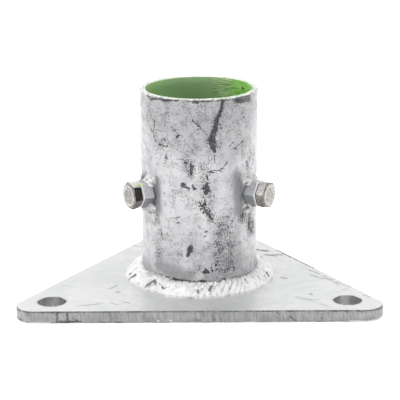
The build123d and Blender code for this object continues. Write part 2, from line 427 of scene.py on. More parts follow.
# Green coat inside the tube: brushed, with a lime area near the top on the right
def greenMaterial():
    material, tree, shader = startMaterial("innerGreen")
    point = objectPoint(tree)
    x, _, z = parts(tree, point)
    brushed = noiseField(tree, objectPoint(tree, (1.0, 1.0, 7.0)), 8 * mm, 4.0, 0.7)
    streaks = noiseField(tree, objectPoint(tree, (0.25, 0.25, 2.2)), 1.6 * mm, 3.0, 0.6)
    cloud = noiseField(tree, point, 14 * mm, 4.0, 0.6)
    fine = noiseField(tree, point, 0.9 * mm, 3.0, 0.7)
    colour = tinted(tree, (0.235, 0.40, 0.155), (0.25, 0.38, 0.195), x, -0.032, -0.008)
    colour = tinted(tree, colour, (0.17, 0.27, 0.13), brushed, 0.4, 0.64, 0.0, 0.2)
    nearTop = between(tree, z, 0.075, 0.112)
    right = calc(tree, "MULTIPLY", between(tree, x, 0.0085, 0.0105), nearTop)
    light = tinted(tree, (0.175, 0.31, 0.11), (0.37, 0.49, 0.275), streaks, 0.44, 0.56)
    colour = mixColour(tree, right, colour, light)
    lime = tinted(tree, (0.135, 0.385, 0.042), (0.305, 0.58, 0.135), streaks, 0.4, 0.62)
    limeShare = calc(tree, "MULTIPLY", between(tree, x, 0.017, 0.026, 0.0, 0.9), nearTop)
    colour = mixColour(tree, limeShare, colour, lime)
    colour = tinted(tree, colour, (0.30, 0.37, 0.24), cloud, 0.56, 0.74, 0.0, 0.4)
    colour = tinted(tree, colour, (0.04, 0.07, 0.03), fine, 0.67, 0.72, 0.0, 0.8)
    pit = strokeMask(tree, point, (0.0285, 0.0192, 0.1303), (0.0298, 0.0175, 0.1300), 0.7 * mm)
    plug(tree, shader, {
        "Base Color": mixColour(tree, pit, colour, (0.03, 0.04, 0.02)),
        "Roughness": between(tree, cloud, 0.3, 0.7, 0.4, 0.6)})
    addBump(tree, shader, (brushed, 0.25 * mm, 0.4), (streaks, 0.1 * mm, 0.5))
    return material


limeDab = ((-0.0397, -0.0280, 0.0770), (-0.0356, -0.0243, 0.0776), 1.5 * mm, (0.61, 0.74, 0.33))
headLook = {
    "clean": (0.45, 0.425, 0.40), "stain": (0.22, 0.195, 0.18), "paintedHighlight": (0.86, 0.855, 0.82),
    "paintedDarkReflection": (0.02, 0.018, 0.018), "blotch": 0.95, "fleck": 0.7, "metallic": 0.8, "roughness": 0.32,
}
nutLook = {
    "clean": (0.56, 0.575, 0.59), "stain": (0.36, 0.365, 0.37), "paintedHighlight": (0.93, 0.93, 0.93),
    "paintedDarkReflection": (0.06, 0.06, 0.065), "blotch": 0.4, "fleck": 0.4, "metallic": 0.5, "roughness": 0.38,
}
headSteel = facetMaterial("boltStainless", headLook, limeDab)
nutZinc = facetMaterial("nutZinc", nutLook, limeDab)
innerGreen = greenMaterial()
print("materials ready")


# Floor plate

plate = {
    "side": 250.0 * mm,
    "cornerRadius": 12.5 * mm,
    "holeRadius": 9.0 * mm,
    "holeDistance": 108.3376 * mm,
    "arcSteps": 26,
    "step": 0.9 * mm,
    "gridStep": 1.6 * mm,
    "levels": [(0.45, 0.0), (0.12, 0.25), (0.0, 0.7), (0.0, 1.7), (0.0, 2.8), (0.0, 3.9), (0.0, 5.0),
               (0.0, 6.1), (0.0, 6.9), (0.06, 7.4), (0.22, 7.8), (0.6, 8.0)],  # inset and height, mm
    "holeColumns": 72,
    "holeRough": 0.07 * mm,
    "gridMargin": 1.3 * mm,
    "cornerFrom": 118 * mm,
    "edgeRagged": (0.35 * mm, 0.9 * mm),
    "holeLevels": [(0.35, 8.0), (0.1, 7.75), (0.0, 7.2), (0.0, 5.4), (0.0, 3.6), (0.0, 1.8),
                   (0.0, 0.5), (0.25, 0.0)],  # outset and height, mm
    "cutDepth": 0.06 * mm,
    "cutPitch": 2.6 * mm,
    "paintedShadeShare": 0.34,
    "paintedShadeRadius": 52 * mm,
    "paintedShadeSpread": 8 * mm,
    "paintedShadeWidth": 28 * mm,
}
cornerDistance = plate["side"] / sqrt(3) - 2 * plate["cornerRadius"]


# Plate's outline seen from above, with the normal at each spot
def plateContour():
    radius, arcSteps = plate["cornerRadius"], plate["arcSteps"]
    contour = []
    for angle in stations.values():
        centre, nextCentre = unit(angle) * cornerDistance, unit(angle + 120) * cornerDistance
        normals = [unit(angle - 60 + 120 * i / arcSteps) for i in range(arcSteps + 1)]
        contour += [(centre + normal * radius, normal) for normal in normals]
        normal = unit(angle + 60)
        steps = round((nextCentre - centre).length / plate["step"])
        contour += [(centre.lerp(nextCentre, i / steps) + normal * radius, normal) for i in range(1, steps)]
    return contour


# How far a spot lies inside the outline
def contourGap(spot):
    gaps = [-plateLow.y - spot.dot(unit(angle + 60)) for angle in stations.values()]
    for angle in stations.values():
        off = spot - unit(angle) * cornerDistance
        if off.dot(unit(angle)) > 0.5 * off.length:
            gaps.append(plate["cornerRadius"] - off.length)
    return min(gaps) - 0.2 * mm


def makePlate():
    contour = plateContour()
    count = len(contour)
    points, shades, runs = [], [], [0.0]
    for (before, _), (spot, _) in zip(contour, contour[1:]):
        runs.append(runs[-1] + (spot - before).length)
    for inset, height in plate["levels"]:
        for (spot, normal), run in zip(contour, runs):
            z = height * mm
            slanted = run + cutSlant * z
            cut = noiseAt(slanted / plate["cutPitch"], z / (9 * mm), 3.1)
            face = 1.0 if 0.5 < height < 7.5 else 0.5
            pull = inset * mm + plate["cutDepth"] * (0.75 + 0.7 * cut) * face
            rise = 0.0
            if height < 0.8:
                ragged = wobble((spot.x, spot.y, 0), 9 * mm)
                even, uneven = plate["edgeRagged"]
                rise = max(0.0, even + uneven * ragged) * (0.8 - height)
            corner = spot.length > plate["cornerFrom"]
            if height < 1.8 and corner and wobble((spot.x, spot.y, 20 * mm), 14 * mm) > -0.1:
                rise += 0.9 * mm * (1.8 - height) / 1.8
            place = spot - normal * max(0.0, pull)
            points.append((place.x, place.y, min(plateTop, z + rise)))
            shade = 0.0
            burr = noiseAt(run / (5 * mm), 1.5, 0) + noiseAt(run / (1.6 * mm), 4.5, 0)
            if 7.3 < height < 7.95:
                shade += max(0.0, 0.7 + 0.8 * burr)
            if height < 0.5:
                shade += max(0.0, 0.3 + 0.7 * burr)
            stain = noiseAt(run / (17 * mm), 7.5, z / (20 * mm))
            streak = noiseAt(slanted / (2.2 * mm), 2.5, z / (16 * mm))
            shades.append(shade + max(0.0, stain - 0.25) * max(0.0, streak + 0.1) * 1.6)
    faces = gridFaces(len(plate["levels"]), count)

    columns, rims = plate["holeColumns"], plate["holeLevels"]
    holes = []
    for angle in stations.values():
        centre = unit(angle) * plate["holeDistance"]
        start = len(points)
        for outset, height in rims:
            for i in range(columns):
                turn = 2 * pi * i / columns
                rough = plate["holeRough"] * noiseAt(i * 0.9, height / 9, angle) if 0 < height < 8 else 0.0
                radius = plate["holeRadius"] + outset * mm + rough
                points.append((centre.x + radius * cos(turn), centre.y + radius * sin(turn), height * mm))
        faces += gridFaces(len(rims), columns, start=start)
        bottom = start + (len(rims) - 1) * columns
        holes.append((centre, list(range(start, start + columns)), list(range(bottom, bottom + columns))))
    faceMaterials = [1] * len(faces)

    # Top and bottom faces, between the outline and the anchor holes
    for ring, z, upward in ((len(plate["levels"]) - 1, plateTop, True), (0, 0.0, False)):
        origin, edges = [], []
        outline = [ring * count + i for i in range(count)]
        for loop in [outline, *(hole[1 if upward else 2] for hole in holes)]:
            first = len(origin)
            origin += loop
            edges += [(first + i, first + (i + 1) % len(loop)) for i in range(len(loop))]
        flat = [Vector(points[index][:2]) for index in origin]
        if upward:
            step = plate["gridStep"]
            for ix in range(int(plateLow.x / step), int(plateHigh.x / step) + 1):
                for iy in range(int(plateLow.y / step), int(plateHigh.y / step) + 1):
                    spot = Vector((ix * step + 0.3 * step * (iy % 2), iy * step))
                    gaps = [(spot - hole[0]).length - plate["holeRadius"] for hole in holes]
                    if min(contourGap(spot), *gaps) > plate["gridMargin"]:
                        flat.append(spot)
        made, _, madeFaces, madeFrom, _, _ = geometry.delaunay_2d_cdt(flat, edges, [], 0, 1e-7)
        index = []
        for spot, sources in zip(made, madeFrom):
            known = [origin[s] for s in sources if s < len(origin)]
            index.append(known[0] if known else len(points))
            if not known:
                points.append((spot.x, spot.y, z))
        for face in madeFaces:
            centre = sum((made[i] for i in face), Vector((0, 0))) / len(face)
            inHole = any((centre - hole[0]).length < plate["holeRadius"] * 0.97 for hole in holes)
            if contourGap(centre) > 0 and not inHole:
                loop = [index[i] for i in face]
                faces.append(tuple(loop if upward else reversed(loop)))
    faceMaterials += [0] * (len(faces) - len(faceMaterials))
    made = makeObject("basePlate", points, faces, [plateZinc, edgeZinc], faceMaterials)

    # Hole walls are painted lighter towards the rear, a painted highlight with painted shade at the sides,
    # and the plate top in front of the weld gets a painted shade
    shades += [0.0] * (len(points) - len(shades))
    for centre, top, bottom in holes:
        for index in range(top[0], bottom[-1] + 1):
            spot = Vector(points[index][:2]) - centre
            around = degrees(atan2(spot.y, spot.x)) - 96
            streak = noiseAt(around / 7, centre.x * 40, 5.5)
            shades[index] = max(0.0, 0.34 - 0.42 * exp(-(around / 30) ** 2) + 0.22 * streak)
    # Painted shade and reflection of the weld and tube on the plate top in front of the weld
    for index, (x, y, z) in enumerate(points):
        if y < 0 and z > plateTop - 0.05 * mm:
            off = (hypot(x, y) - plate["paintedShadeRadius"]) / plate["paintedShadeSpread"]
            paintedShade = plate["paintedShadeShare"] * exp(-off ** 2 - ((x - 2 * mm) / plate["paintedShadeWidth"]) ** 2)
            shades[index] = max(shades[index], paintedShade)
    setField(made, "shade", shades)
    return made


basePlate = makePlate()
print("plate", len(basePlate.data.polygons))


# Socket tube

tube = {
    "wall": 3.6 * mm,
    "frontColumns": 210,
    "frontSweep": 170.0,
    "backColumns": 130,
    "rows": 236,
    "innerRows": 26,
    "lip": 0.28 * mm,
    "flare": 0.25 * mm,
    "waver": 0.10 * mm,
    "boltHole": 5.5 * mm,
    "holeColumns": 48,
    "markSpread": 1.5,
    "thinnest": 0.22,
}

# Dark marks on the tube: the strength, then degrees from the front, height and half width
tubeMarks = [
    (1, 23, 133, 0.6, 22.3, 130, 0.6, 20.4, 125.8, 0.65, 17.6, 122.1, 0.85, 16.5, 117.8, 0.95,
     14.3, 113.7, 1.15, 13.2, 109.4, 1.3, 13.2, 105.1, 1.2),
    (1, 13.2, 105.1, 1.1, 15.6, 101.1, 0.5), (0.9, 20.5, 118.3, 0.34, 22.8, 115, 0.24),
    (0.8, 23.2, 120, 0.24), (0.6, 25.8, 117.9, 0.17, 31.6, 112.7, 0.17),
    (0.7, 27.9, 112.7, 0.2, 34.1, 113.9, 0.2), (0.6, 24.4, 111.7, 0.17, 29.9, 109.8, 0.17),
    (0.7, 47.7, 120.8, 0.24, 50.6, 119.7, 0.24), (0.9, 30.4, 103.8, 0.31, 35.2, 106, 0.24),
    (0.9, 34.8, 102, 0.24, 39, 101, 0.24), (0.8, 37.1, 102, 0.17, 48.6, 105.6, 0.17),
    (0.8, -2, 119.7, 0.27, 1.6, 116, 0.2, 7.9, 112.5, 0.17), (0.7, 2.4, 110.4, 0.17, 8.9, 106.6, 0.17),
    (0.9, 7.7, 108.7, 0.27, 11.3, 110.2, 0.27), (0.75, 14.8, 98.9, 0.17, 15.3, 94.1, 0.17),
    (0.6, -0.6, 97.1, 0.24, 5.5, 97.4, 0.24), (0.6, 19.8, 106.6, 0.17, 23.2, 106.1, 0.17),
    (0.7, 23.2, 89.4, 0.17, 26.7, 92.7, 0.17), (0.6, -53.4, 122.7, 0.27, -54.3, 119.6, 0.34),
    (0.9, -46.7, 119.5, 0.27, -47.8, 115.5, 0.14, -49.9, 110.9, 0.14), (1, -46.7, 119.2, 0.27),
    (0.85, -55.7, 114.7, 0.17, -49.9, 111, 0.2, -44.9, 104.8, 0.14), (1, -34.4, 107.8, 0.41),
    (0.95, -41.4, 104.2, 0.31, -31.2, 103.7, 0.27), (0.9, -32.7, 97.6, 0.27, -33.9, 95.6, 0.27),
    (0.9, -33.9, 95.8, 0.24, -31.1, 95.3, 0.24), (1, -21.3, 110.2, 0.34, -19.1, 111.8, 0.31),
    (0.75, -19.1, 111.8, 0.24, -15.4, 111.3, 0.17),
    (0.85, -5.8, 121.8, 0.2, 1, 117.4, 0.31, 4.8, 115.2, 0.17), (0.6, -2.8, 115.7, 0.17, 3, 116.4, 0.17),
    (0.55, -10, 129.5, 0.27, -7.9, 125.7, 0.27), (0.55, -38.6, 127.9, 0.17, -38.1, 122.6, 0.17),
    (0.5, -32.9, 128.4, 0.17, -32.5, 124.1, 0.17), (0.8, -18.4, 96.3, 0.24, -16.7, 96.2, 0.24),
    (0.7, -10.3, 105.3, 0.2, -5.8, 102.5, 0.2), (0.55, -37.6, 115.7, 0.17, -35, 111.9, 0.17),
    (0.5, -31.4, 117.1, 0.14, -24.5, 116.7, 0.14), (0.5, -29.3, 113.6, 0.14, -21.1, 115.2, 0.14),
    (0.5, -13.4, 109.4, 0.27, -13.5, 106.6, 0.27), (1, -12.9, 94.1, 0.55, -12.6, 94, 0.55),
    (0.75, -12.4, 92, 0.23, -10, 90.2, 0.23), (0.7, -8.9, 95.8, 0.23, -6.8, 93.2, 0.23),
    (1, -6.6, 91.9, 1, -7.8, 87.2, 0.35), (0.85, -1.4, 90, 0.27, 0.1, 90.2, 0.27),
    (0.95, 7.9, 88.6, 0.19, 14.2, 87.6, 0.31),
    (0.8, 10.5, 88.9, 0.15, 20.2, 88.8, 0.27, 24.8, 90.9, 0.15, 28.1, 93.5, 0.12),
    (1, -15.6, 79.6, 0.95, -15.2, 79.4, 0.95), (1, -12, 78.2, 0.42, -9.9, 77.6, 0.42),
    (0.7, -9.9, 77.6, 0.23, -10.1, 76, 0.23), (0.8, -6.5, 79.9, 0.4, -4.1, 77.5, 0.6),
    (0.7, -1.8, 71.5, 0.35, -0.4, 70.8, 0.35), (1, 7.5, 85.3, 0.5, 8.3, 83.4, 0.42),
    (0.7, 5.2, 81.5, 0.27, 9.8, 81, 0.27), (1, 7.1, 80.7, 0.5, 7, 77.4, 1.3, 6.6, 74.5, 0.7),
    (1, 5.9, 70.4, 0.5, 5.1, 66.6, 0.65, 6, 63.1, 0.75, 9.2, 59.7, 0.6),
    (1, 9.2, 59.7, 0.46, 12.3, 56.6, 0.27), (1, 0.6, 68.4, 0.31, 3.2, 65.9, 0.35),
    (0.9, -0.4, 66, 0.31, 4.9, 67.5, 0.31), (0.95, 1.7, 63.7, 0.35, 6.3, 65.6, 0.35),
    (1, 3.6, 61.4, 0.42, 6.3, 63, 0.42), (0.8, 10.1, 61.9, 0.38, 9.4, 65.2, 0.23),
    (0.6, 4.3, 58, 0.19, 4.8, 54.3, 0.19), (0.7, 13.8, 55, 0.19, 18, 53.1, 0.19),
    (0.8, 33, 54.4, 0.35, 34, 53, 0.35), (0.8, -23, 57.1, 0.23, -19.1, 58.3, 0.23),
    (0.7, -22.7, 53.7, 0.23, -18.3, 54.7, 0.23), (0.7, 24.8, 71, 0.23, 26.7, 70.2, 0.23),
    (0.6, -10.2, 69.5, 0.23), (0.6, 13.9, 72.6, 0.23, 15.1, 71.1, 0.23),
    (0.5, 2.6, 95.9, 0.27, 3.4, 89.3, 0.27), (0.5, 59.3, 97.7, 1.4, 53.9, 88.6, 1.6),
    (0.4, 53.9, 88.6, 1.6, 43.4, 80.1, 1.2), (0.9, 6.4, 48.6, 0.6), (0.9, 5.4, 46, 0.6),
    (1, -8.4, 38.4, 0.8, -8.9, 37, 0.75), (1, -9.4, 36.8, 0.85, -10.4, 34, 0.6),
    (1, -10.9, 33.6, 0.65, -11.9, 31.8, 0.35), (0.9, -7.2, 35.6, 0.3, -6.6, 34.9, 0.25),
    (0.45, 25.6, 50, 5, 25.6, 30, 5), (1, 6.2, 22.3, 0.9), (0.9, 4, 21.5, 0.5, 9, 21.5, 0.4),
    (0.9, 16.2, 25.9, 0.5), (0.8, 11.5, 27, 0.4, 12, 22, 0.3), (0.9, 35.9, 20.5, 0.6),
    (0.7, 34, 27, 0.3, 36, 22, 0.3), (0.5, -48.4, 63.1, 1.3, -39.4, 40.7, 1.3),
    (0.45, -39.4, 40.7, 1.3, -46.6, 27.4, 1), (0.65, 52, 56, 3, 66, 44.5, 2.8),
    (0.9, 60, 57, 1.2, 58, 46, 1), (1, -52.8, 132.6, 0.55, -44.3, 133.2, 0.5),
    (1, -35.8, 133.2, 0.45, -28.9, 133.5, 0.45), (1, -5.1, 133.4, 0.45, -0.6, 133.2, 0.55),
    (0.9, 37.3, 132.8, 1.2, 55.2, 132.3, 1.5), (0.8, -57, 133.6, 0.4, -20, 133.9, 0.35),
    (0.8, -12, 134, 0.35, 18, 134, 0.35), (0.75, 18, 133.9, 0.35, 58, 133.7, 0.4),
    (0.6, 95, 134, 0.45, 265, 134, 0.45), (0.6, -58, 16.6, 0.2, -54, 16.9, 0.25),
    (0.8, -43, 17, 0.3, -40, 16.8, 0.2), (0.7, -36, 16.5, 0.25, -31, 16, 0.25),
    (1, -26, 15.8, 0.45, -17, 15.7, 0.5), (0.9, -17, 15.7, 0.5, -9, 15.6, 0.25),
    (0.9, -5, 15.6, 0.35, 0.5, 15.5, 0.3), (1, 1.5, 15.6, 0.5, 6, 15.5, 0.3),
    (0.6, 10, 15.5, 0.25, 15, 15.5, 0.22), (0.9, 22.5, 15.6, 0.4, 26, 15.6, 0.25),
    (0.6, 34, 15.5, 0.25, 40, 15.4, 0.22), (0.8, 80, 15.2, 0.3, 110, 15.6, 0.4),
    (0.8, 150, 15.6, 0.4, 190, 15.6, 0.3), (0.7, 215, 15.8, 0.4, 250, 15.6, 0.3),
    (0.9, 150, 118, 0.8, 140, 98, 1.6), (0.9, 115, 90, 1.2, 118, 82, 0.6),
    (0.7, -110, 112, 0.5, -122, 100, 0.4), (0.9, -150, 84, 0.9, -146, 70, 1.4),
    (0.9, 170, 60, 1.3, 162, 48, 0.7), (0.9, -95, 44, 0.9, -98, 36, 0.9), (0.8, 130, 40, 0.7, 133, 30, 1.2),
    (0.8, -170, 128, 1, -150, 130, 1.2), (0.8, 100, 131, 1, 118, 132, 0.9),
    (0.7, -135, 58, 0.5, -128, 50, 0.5),
]

# Where specks crowd, and where the tube is greyer; the shade list also holds painted shade beside the nuts
# and round the tube's foot above the weld
tubeSpecks = [
    (0.42, -58, 124, 9, 60, 124, 9), (0.55, 22, 130, 5, 13, 102, 5), (0.55, -52, 126, 5, -34, 100, 6),
    (0.75, 5, 92, 2.5, 7, 70, 3), (0.8, 7, 70, 3, 11, 57, 2.5), (0.85, -12, 96, 3.5, -7, 88, 3),
    (0.85, 23, 50, 5, 26, 26, 6), (0.5, 0, 23, 3.5, 28, 20, 4), (0.4, -46, 58, 3, -42, 30, 3),
    (0.8, 57, 54, 4, 62, 45, 4), (0.35, -26, 76, 3, -4, 66, 3), (0.3, -36, 48, 3, -14, 44, 3),
    (0.45, 35, 112, 5, 55, 98, 5), (0.45, 60, 84, 4, 50, 100, 4), (0.45, -20, 104, 5, 12, 98, 4),
    (0.45, -22, 46, 2.5, -18, 34, 2.5), (0.6, 150, 110, 9, 120, 60, 7), (0.55, -120, 100, 7, -160, 50, 9),
    (0.5, 180, 40, 8, 140, 24, 6), (0.5, -100, 30, 6, -150, 24, 6),
]
tubeShade = [
    (0.42, -46, 122, 12, 46, 122, 12), (0.36, -14, 112, 10, 42, 110, 9),
    (0.55, 13, 129, 1.5, 15.5, 122, 0.9), (0.6, 34.5, 119, 1.4), (0.22, -8, 104, 5, 2, 96, 5),
    (0.6, -40, 22.5, 3, -12, 18.5, 3.5), (0.35, 8, 17, 2.4, 50, 17, 2.6), (0.38, 23, 50, 4.5, 26, 26, 6),
    (0.4, 36, 44, 3, 42, 24, 4), (0.95, -47.5, 79, 2.7, -45, 61, 2.7), (0.85, 39.5, 84, 2.6, 41.5, 60, 2.6),
    (0.9, 44, 78, 1.4, 45, 62, 1.4), (0.2, -60, 120, 2.5, -52, 100, 2.5), (0.35, 58, 50, 2.6, 64, 42, 2.6),
    (0.25, -46, 38, 2, -40, 28, 2), (0.4, -170, 22, 3, -60, 18, 3), (0.4, 75, 18, 3, 178, 18, 3),
    (0.25, 130, 100, 9, 120, 40, 9), (0.25, -130, 90, 8, -120, 40, 8),
]


# Radius and height of each row: up the outside, over the rim and down the inside
def tubeProfile():
    outer, inner = tubeRadius, tubeRadius - tube["wall"]
    rows = [(outer, plateTop + (tubeTop - plateTop - 0.5 * mm) * i / tube["rows"])
            for i in range(tube["rows"] + 1)]
    rows += [(outer - 0.15 * mm, tubeTop - 0.18 * mm), (outer - 0.5 * mm, tubeTop - 0.02 * mm),
             (outer - 1.6 * mm, tubeTop - 0.05 * mm), (inner + 0.9 * mm, tubeTop - 0.06 * mm),
             (inner + 0.3 * mm, tubeTop - 0.2 * mm), (inner, tubeTop - 0.6 * mm)]
    rows += [(inner, tubeTop - 0.6 * mm - (tubeTop - 0.6 * mm - plateTop) * i / tube["innerRows"])
             for i in range(1, tube["innerRows"] + 1)]
    return rows


# Columns stand closer together on the front, where the fine marks are
def tubeTurns():
    sweep, front, back = tube["frontSweep"], tube["frontColumns"], tube["backColumns"]
    return [radians(-90 - sweep / 2 + sweep * i / front) for i in range(front)] + [
        radians(-90 + sweep / 2 + (360 - sweep) * i / back) for i in range(back)]


# Mesh of a piece with its modifiers applied
def bakeMesh(piece):
    bpy.context.view_layer.update()
    return bpy.data.meshes.new_from_object(piece.evaluated_get(bpy.context.evaluated_depsgraph_get()))


def makeTube():
    rows, turns, rimRow = tubeProfile(), tubeTurns(), tube["rows"]
    points = []
    for number, (reach, height) in enumerate(rows):
        for turn in turns:
            place = Vector((cos(turn) * tubeRadius, sin(turn) * tubeRadius, height))
            r, z = reach, height
            if number <= rimRow:
                fromTop = (tubeTop - height) / (2.2 * mm)
                r += tube["waver"] * wobble(place, 16 * mm)
                r += tube["lip"] * exp(-fromTop * fromTop) * (0.9 + 1.1 * wobble(place, 5 * mm, 4.0))
                r += tube["flare"] * exp(-(tubeTop - height) / (6 * mm))
            elif number <= rimRow + 6:
                if number <= rimRow + 3:
                    r += tube["flare"] + tube["lip"] * 0.6
                z -= 0.22 * mm * abs(wobble(place, 2.2 * mm, 9.0))
            points.append((r * cos(turn), r * sin(turn), min(z, tubeTop)))
    faces = gridFaces(len(rows), len(turns), closeRows=True)
    faceMaterials = []
    for number in range(len(rows)):
        inside = rimRow + 5 <= number < len(rows) - 1
        onRim = rimRow <= number < rimRow + 5
        faceMaterials += [1 if inside else 2 if onRim else 0] * len(turns)
    shell = makeObject("socketTube", points, faces, [tubeZinc, innerGreen, rimZinc], faceMaterials)
    cutters = []
    count = tube["holeColumns"]
    for angle in stations.values():
        ring = [(*(unit(360 * i / count) * tube["boltHole"]), z)
                for z in (20 * mm, 50 * mm) for i in range(count)]
        caps = [tuple(reversed(range(count))), tuple(range(count, 2 * count))]
        cutters.append(makeObject("boltHoleCutter", placed(ring, angle), gridFaces(2, count) + caps, []))
        cut = shell.modifiers.new("boltHole", "BOOLEAN")
        cut.operation = "DIFFERENCE"
        cut.solver = "EXACT"
        cut.object = cutters[-1]
    baked = bakeMesh(shell)
    shell.modifiers.clear()
    shell.data = baked
    for cutter in cutters:
        bpy.data.objects.remove(cutter)
    radius = tubeRadius / mm
    strokeField(shell, "marks", tubeMarks, radius, spread=tube["markSpread"], thinnest=tube["thinnest"])
    strokeField(shell, "specks", tubeSpecks, radius)
    strokeField(shell, "shade", tubeShade, radius)
    return shell


socketTube = makeTube()
print("tube", len(socketTube.data.polygons))


# Ring weld

ring = {
    "crown": 1.5 * mm,
    "columns": 960,
    "across": 26,
    "ripplePitch": 4.5 * mm,
    "rippleDepth": 1.15 * mm,
    "rippleLag": 9.0 * mm,
    "lump": 0.8 * mm,
    "markRadius": 45,
}

# Bead's leg out from the tube and leg up it, in mm, by degrees from the front
legAngles = [-180, -120, -62.5, -50.8, -40.7, -25.4, -10.5, 0.2, 14.8, 34.7, 54.5, 120, 180]
legsOut = [12.6, 12.2, 13.2, 12.0, 11.2, 13.4, 13.2, 12.8, 12.7, 13.0, 12.2, 12.0, 12.6]
legsUp = [7.2, 7.6, 8.0, 8.4, 8.3, 7.2, 7.0, 6.9, 6.9, 6.9, 6.6, 7.2, 7.2]


# Smooth coin-stack ripples on one side, lumps and hollows on the other
def makeRingWeld():
    rows, columns, pitch, lag = ring["across"], ring["columns"], ring["ripplePitch"], ring["rippleLag"]
    points, shades = [], []
    for row in range(rows + 3):
        share = min(1.0, row / rows)
        bulge = sin(pi * share)
        for column in range(columns):
            turn = 2 * pi * column / columns
            direction = Vector((cos(turn), sin(turn), 0))
            fromFront = (degrees(turn) + 270) % 360 - 180
            smoothness = 0.5 + 0.5 * tanh(4 * (
                sin(2 * turn + 0.6) if direction.y > 0.2 else direction.x + 0.12))
            run = turn * (tubeRadius + lag)
            toe = float(np.interp(fromFront, legAngles, legsOut)) * mm - 0.5 * mm
            toe += 0.6 * mm * wobble(direction, 0.12, 5.0) + 0.3 * mm * wobble(direction, 0.04, 6.0)
            toeRun = run + 3.4 * mm * wobble(direction * 50 * mm, 11 * mm, 3.0)
            toe += 0.7 * mm * smoothness * sin(pi * (toeRun / pitch % 1.0))
            top = float(np.interp(fromFront, legAngles, legsUp)) * mm
            top += 1.0 * mm * wobble(direction, 0.09, 6.0) + 1.3 * mm * wobble(direction, 0.035, 8.0)
            across = direction * (tubeRadius + toe * (1 - share))
            place = Vector((across.x, across.y, top * share))
            run += 3.4 * mm * wobble(place, 11 * mm, 3.0) + 0.5 * mm * wobble(place, 4 * mm, 4.0)
            wave = (run - lag * share ** 1.3) / pitch % 1.0
            scale = sin(pi * wave ** 0.75) ** 0.8 - 0.35
            held = (0.15 + 0.85 * smoothness) * max(0.15, 0.85 + 0.9 * wobble(place, 6 * mm, 1.0))
            ripple = ring["rippleDepth"] * held * scale * bulge ** 0.35
            rolling = wobble(place, 7 * mm, 11.0)
            lump = ring["lump"] * (1.35 - smoothness) * (rolling + 0.5 * wobble(place, 3 * mm, 13.0))
            crumple = 0.35 * mm * wobble(place, 2.6 * mm, 31.0) + 0.2 * mm * wobble(place, 1.3 * mm, 32.0)
            swell = ring["crown"] * bulge + ripple + (lump + crumple) * bulge ** 0.5
            spot = across + direction * 0.52 * swell
            z = plateTop + top * share + 0.85 * swell

            # Painted shade: darker on the ripple flanks and valleys, in creases, hollows and dents, along
            # the weld's top edge against the tube and at its toe on the plate
            slope = max(0.0, 0.45 - scale) * held * (0.3 + 0.7 * bulge)
            valley = max(0.0, 0.1 - scale) * held * max(0.0, 0.5 + 1.6 * wobble(place, 3.5 * mm, 17.0))
            hollow = max(0.0, -rolling - 0.12) * (1.4 - smoothness)
            hollow *= 0.4 if -110 < fromFront < -64 else 1.0
            crease = max(0.0, wobble(place, 2.2 * mm, 21.0) - 0.3) * (0.4 + 0.6 * bulge)
            dent = max(0.0, -crumple / (0.3 * mm) - 0.15)
            middle = exp(-((fromFront - 4) / 20) ** 2)
            calm = 0.35 * min(1.0, max(0.0, (fromFront - 28) / 20))
            shade = (0.38 * slope + 0.9 * valley + 0.6 * crease) * (1 + 0.45 * middle - calm)
            shade += 0.8 * hollow + (0.22 + 0.62 * middle) * dent
            if share > 0.9:
                edge = 1.0 if abs(fromFront) < 28 else 0.35
                shade += edge * max(0.0, 0.5 + wobble(direction, 0.03, 8.0) * 1.8)
            if share < 0.08:
                shade += 0.25
            if row == 0:
                spot, z = direction * (tubeRadius + toe + 0.15 * mm), plateTop - 0.3 * mm
            if row >= rows:  # up against the tube, then down inside its wall
                spot = direction * (tubeRadius if row == rows else tubeRadius - 1.2 * mm)
                z = plateTop + (top, top * 0.6, -0.3 * mm)[row - rows]
            points.append((spot.x, spot.y, z))
            shades.append(shade)
    bead = makeObject("ringWeld", points, gridFaces(rows + 3, columns, closeRows=True), [weldZinc],
                      sharpAngle=75)
    setField(bead, "shade", shades)
    strokeField(bead, "marks", weldMarks, ring["markRadius"], radial=True)
    return bead


# Pores and specks of the ring weld: the strength, then degrees, distance from the axis, half width
weldMarks = [
    (1, -47, 47.6, 0.5, -45, 44.4, 0.85, -41, 43.4, 0.75), (1, -41, 43.4, 0.7, -38.8, 45.4, 0.4),
    (0.9, -35.5, 44.6, 0.3, -30.5, 46.9, 0.35, -25.5, 45.2, 0.3), (1, -1.6, 47.9, 0.5, -0.9, 46.9, 0.45),
    (1, 7.8, 46.6, 0.7, 9.2, 44.9, 0.6), (0.9, 9.2, 44.9, 0.5, 11.3, 42.6, 0.3),
    (0.6, 12.3, 41, 0.2, 12.2, 46, 0.2), (0.8, 24, 43.8, 0.35, 26.2, 42.6, 0.3),
    (0.9, 44, 41.8, 0.25, 43, 46, 0.3), (0.7, 56, 43, 0.25, 57.5, 46.5, 0.3),
    (0.9, 66, 46.4, 0.35, 64, 48.6, 0.3), (0.9, 73, 46.4, 0.5, 71, 48.2, 0.4),
    (1, -69.7, 49.4, 0.4, -66.3, 46.3, 0.7), (0.9, -76, 47.5, 0.7, -74, 47.5, 0.5),
    (0.8, -55.5, 48.6, 0.3, -55, 48.2, 0.3), (0.55, -19.5, 45.4, 0.3, -14, 43, 0.25),
    (0.9, 150, 46, 0.8, 153, 44.5, 0.6), (0.8, 110, 47, 0.5, 113, 45, 0.5),
]

ringWeld = makeRingWeld()
print("ring weld", len(ringWeld.data.polygons))


# Nuts, set bolts and nut welds

